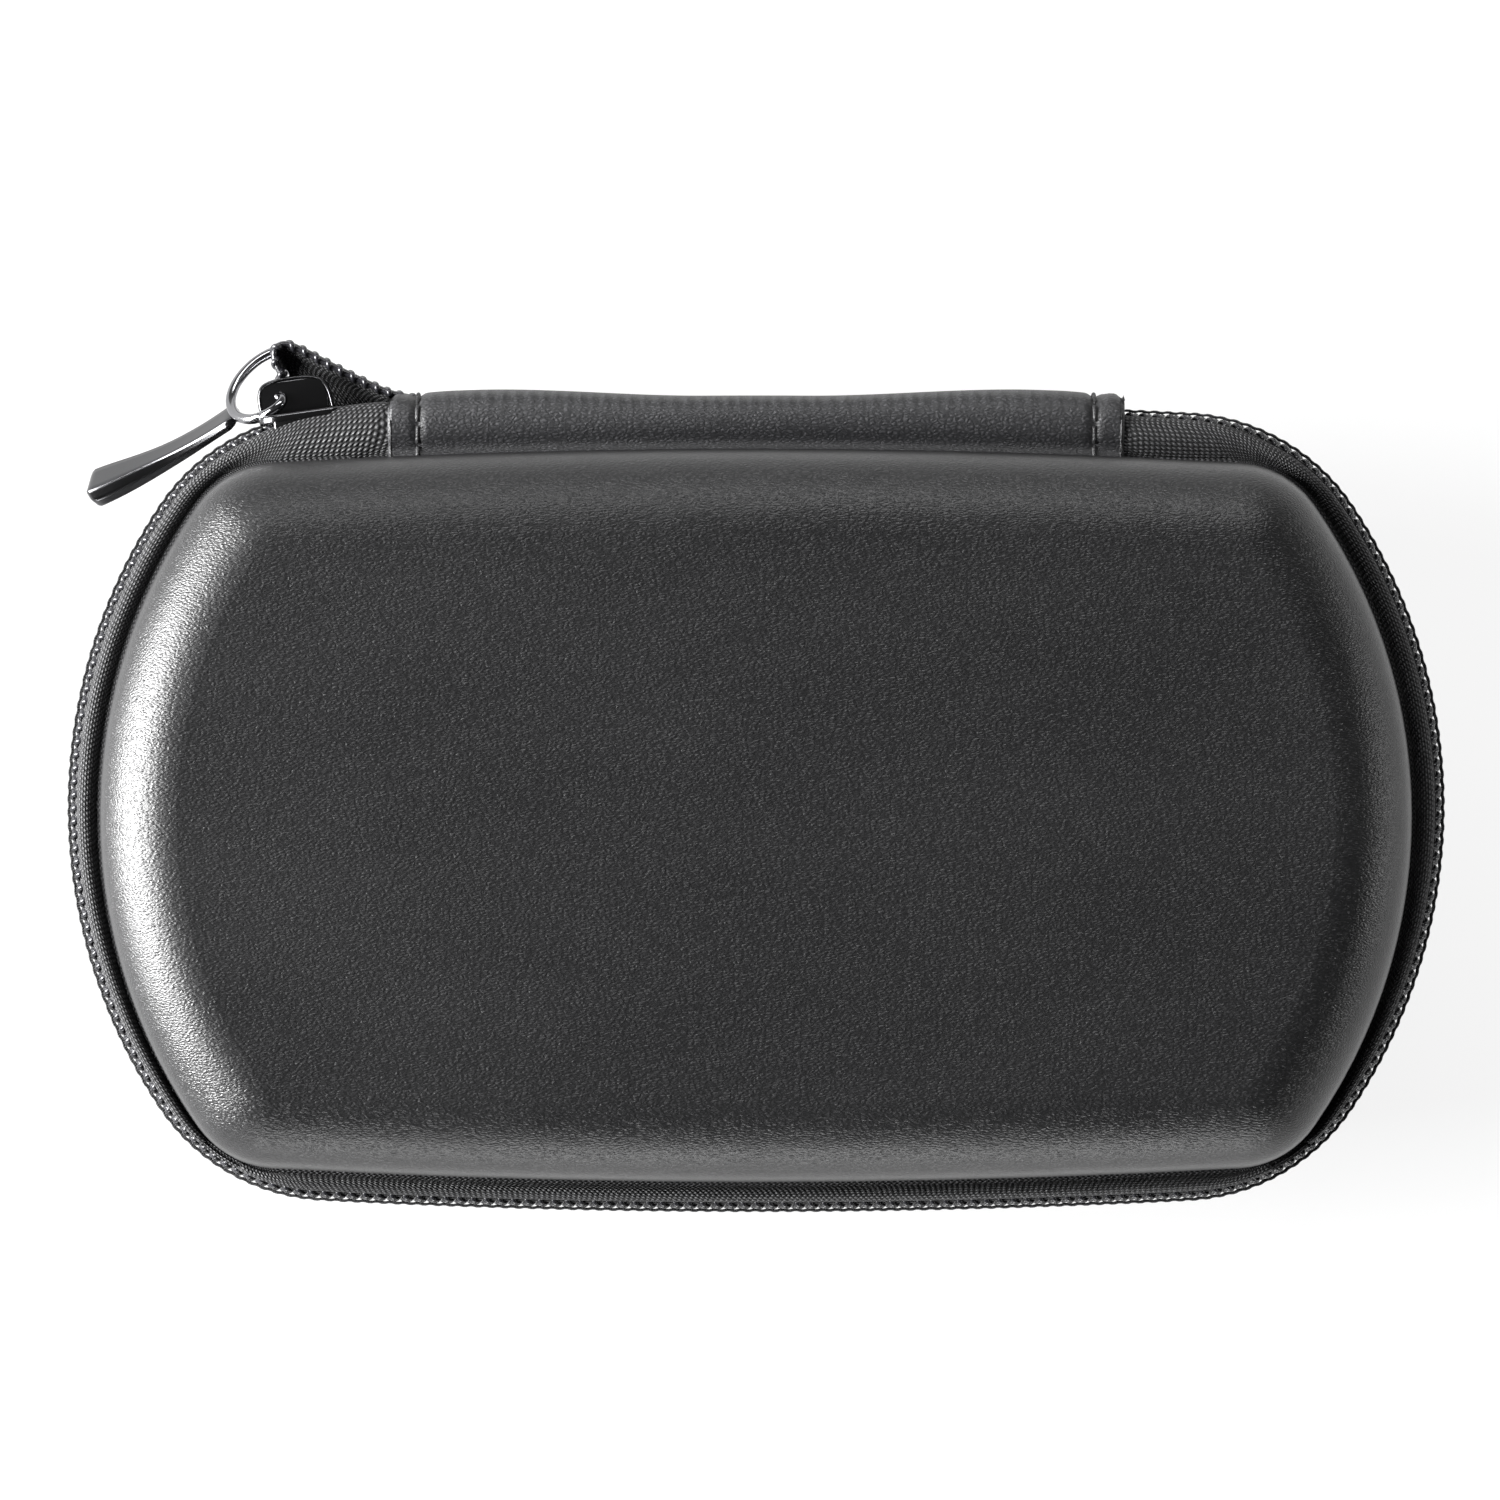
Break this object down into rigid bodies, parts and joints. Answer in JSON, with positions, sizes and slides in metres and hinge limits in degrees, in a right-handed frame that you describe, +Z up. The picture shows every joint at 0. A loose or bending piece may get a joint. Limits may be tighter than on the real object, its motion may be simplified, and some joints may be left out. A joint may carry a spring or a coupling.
{
  "type": "headphone carrying case",
  "caption": "Hard oval clamshell case for folded headphones: two grained half shells joined by a coil zip and a soft hinge, with a slider, pull ring, pull tab and mesh pocket.",
  "frame": {"origin": "middle of the flat back face that the case lies on", "axes": "+Z up through the lid, +X along the case, +Y towards the hinge"},
  "size_m": [0.16, 0.1002, 0.05],
  "materials": {
    "grained_skin": "coated fabric with a fine grain, semi-matt black",
    "moulded_foam": "hot-pressed closed-cell foam",
    "lining_knit": "brushed knit",
    "binding_tape": "grosgrain",
    "zip_tape": "herringbone twill",
    "zip_coil": "black nylon monofilament",
    "thread": "bonded thread",
    "pocket_mesh": "open knitted mesh",
    "elastic": "ribbed elastic tape",
    "black_nickel": "black nickel on zinc, polished"
  },
  "bodies": {
    "back_half": {"back_skin": "grained_skin", "back_core": "moulded_foam", "back_lining": "lining_knit", "back_seam_binding": "binding_tape", "back_zipper_tape": "zip_tape", "back_zipper_coil": "zip_coil", "back_coil_cord": "thread", "hinge_cover": "grained_skin", "hinge_backing": "binding_tape", "hinge_stitches_left": "thread", "hinge_stitches_right": "thread"},
    "lid": {"lid_skin": "grained_skin", "lid_core": "moulded_foam", "lid_lining": "lining_knit", "lid_seam_binding": "binding_tape", "lid_zipper_tape": "zip_tape", "lid_zipper_coil": "zip_coil", "lid_coil_cord": "thread", "mesh_pocket": "pocket_mesh", "pocket_elastic": "elastic"},
    "slider": {"slider_body": "black_nickel"},
    "ring": {"pull_ring": "black_nickel"},
    "tab": {"pull_tab": "black_nickel"}
  },
  "joints": [
    {"name": "lid_hinge", "type": "hinge", "parent": "back_half", "child": "lid", "pos_m": [0, 0.048, 0.025], "axis": [-1, 0, 0], "range_deg": [0, 175], "deforming": ["hinge_cover", "hinge_backing", "hinge_stitches_left", "hinge_stitches_right", "lid_zipper_tape", "lid_zipper_coil", "lid_coil_cord"]},
    {"name": "slider_travel", "type": "hinge", "parent": "back_half", "child": "slider", "pos_m": [-0.04939, 0.02273, 0.025], "axis": [0, 0, 1], "range_deg": [0, 28]},
    {"name": "ring_pivot", "type": "hinge", "parent": "slider", "child": "ring", "pos_m": [-0.05628, 0.04916, 0.025], "axis": [0.171, 0.4698, -0.866], "range_deg": [0, 45]},
    {"name": "tab_pivot", "type": "hinge", "parent": "ring", "child": "tab", "pos_m": [-0.06138, 0.04839, 0.02139], "axis": [0.171, 0.4698, -0.866], "range_deg": [-4, 60]}
  ]
}
